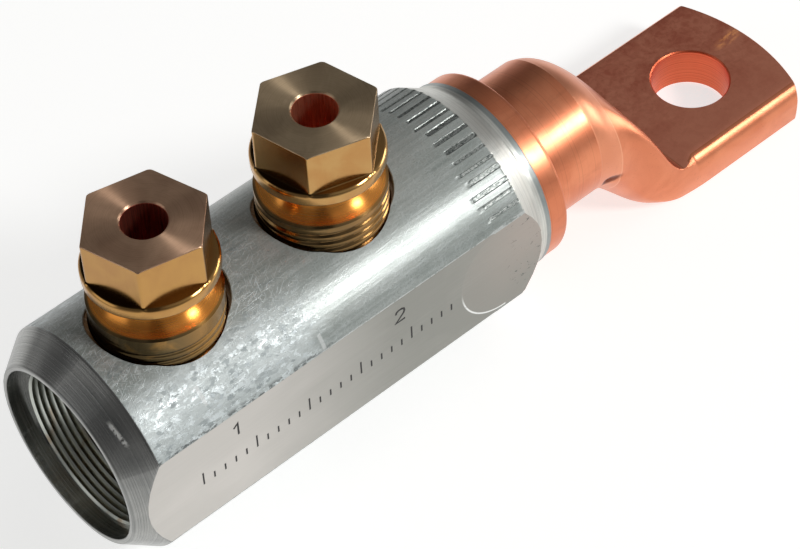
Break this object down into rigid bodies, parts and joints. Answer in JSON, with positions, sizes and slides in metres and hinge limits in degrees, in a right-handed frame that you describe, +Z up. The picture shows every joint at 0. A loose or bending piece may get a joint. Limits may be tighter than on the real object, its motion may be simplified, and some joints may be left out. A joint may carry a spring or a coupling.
{
  "type": "shear bolt lug",
  "caption": "Bimetal cable lug: a flat-sided aluminium barrel with brass shear bolts that clamp a conductor, welded to a forged copper palm with a stud hole.",
  "frame": {"origin": "centre of the palm's stud hole, on the contact face under the palm", "axes": "+X from the conductor mouth towards the palm's end, +Z up along the bolts, +Y across the lug"},
  "size_m": [0.1428, 0.0334, 0.0556],
  "materials": {
    "barrel_aluminium": "turned and milled, satin, scuffed",
    "palm_copper": "forged copper, bright on the sides and tarnished on the palm",
    "bolt_brass": "turned brass, polished",
    "disc_brass": "turned brass, satin"
  },
  "bodies": {
    "lug": {"barrel": "barrel_aluminium", "palm": "palm_copper"},
    "disc_1": {"pressure_disc_1": "disc_brass"},
    "bolt_1": {"shear_bolt_1": "bolt_brass"},
    "disc_2": {"pressure_disc_2": "disc_brass"},
    "bolt_2": {"shear_bolt_2": "bolt_brass"}
  },
  "joints": [
    {"name": "bolt_1_travel", "type": "slide", "parent": "lug", "child": "disc_1", "axis": [0, 0, 1], "range_m": [-0.00525, 0.0075]},
    {"name": "bolt_1_turn", "type": "hinge", "parent": "disc_1", "child": "bolt_1", "pos_m": [-0.1094, 0, 0.03], "axis": [0, 0, 1], "range_deg": [-1260, 1800]},
    {"name": "bolt_2_travel", "type": "slide", "parent": "lug", "child": "disc_2", "axis": [0, 0, 1], "range_m": [-0.00525, 0.0075]},
    {"name": "bolt_2_turn", "type": "hinge", "parent": "disc_2", "child": "bolt_2", "pos_m": [-0.0784, 0, 0.03], "axis": [0, 0, 1], "range_deg": [-1260, 1800]}
  ],
  "couplings": [
    {"joint": "bolt_1_turn", "follows": "bolt_1_travel", "rad_per_m": 4188.8},
    {"joint": "bolt_2_turn", "follows": "bolt_2_travel", "rad_per_m": 4188.8}
  ]
}
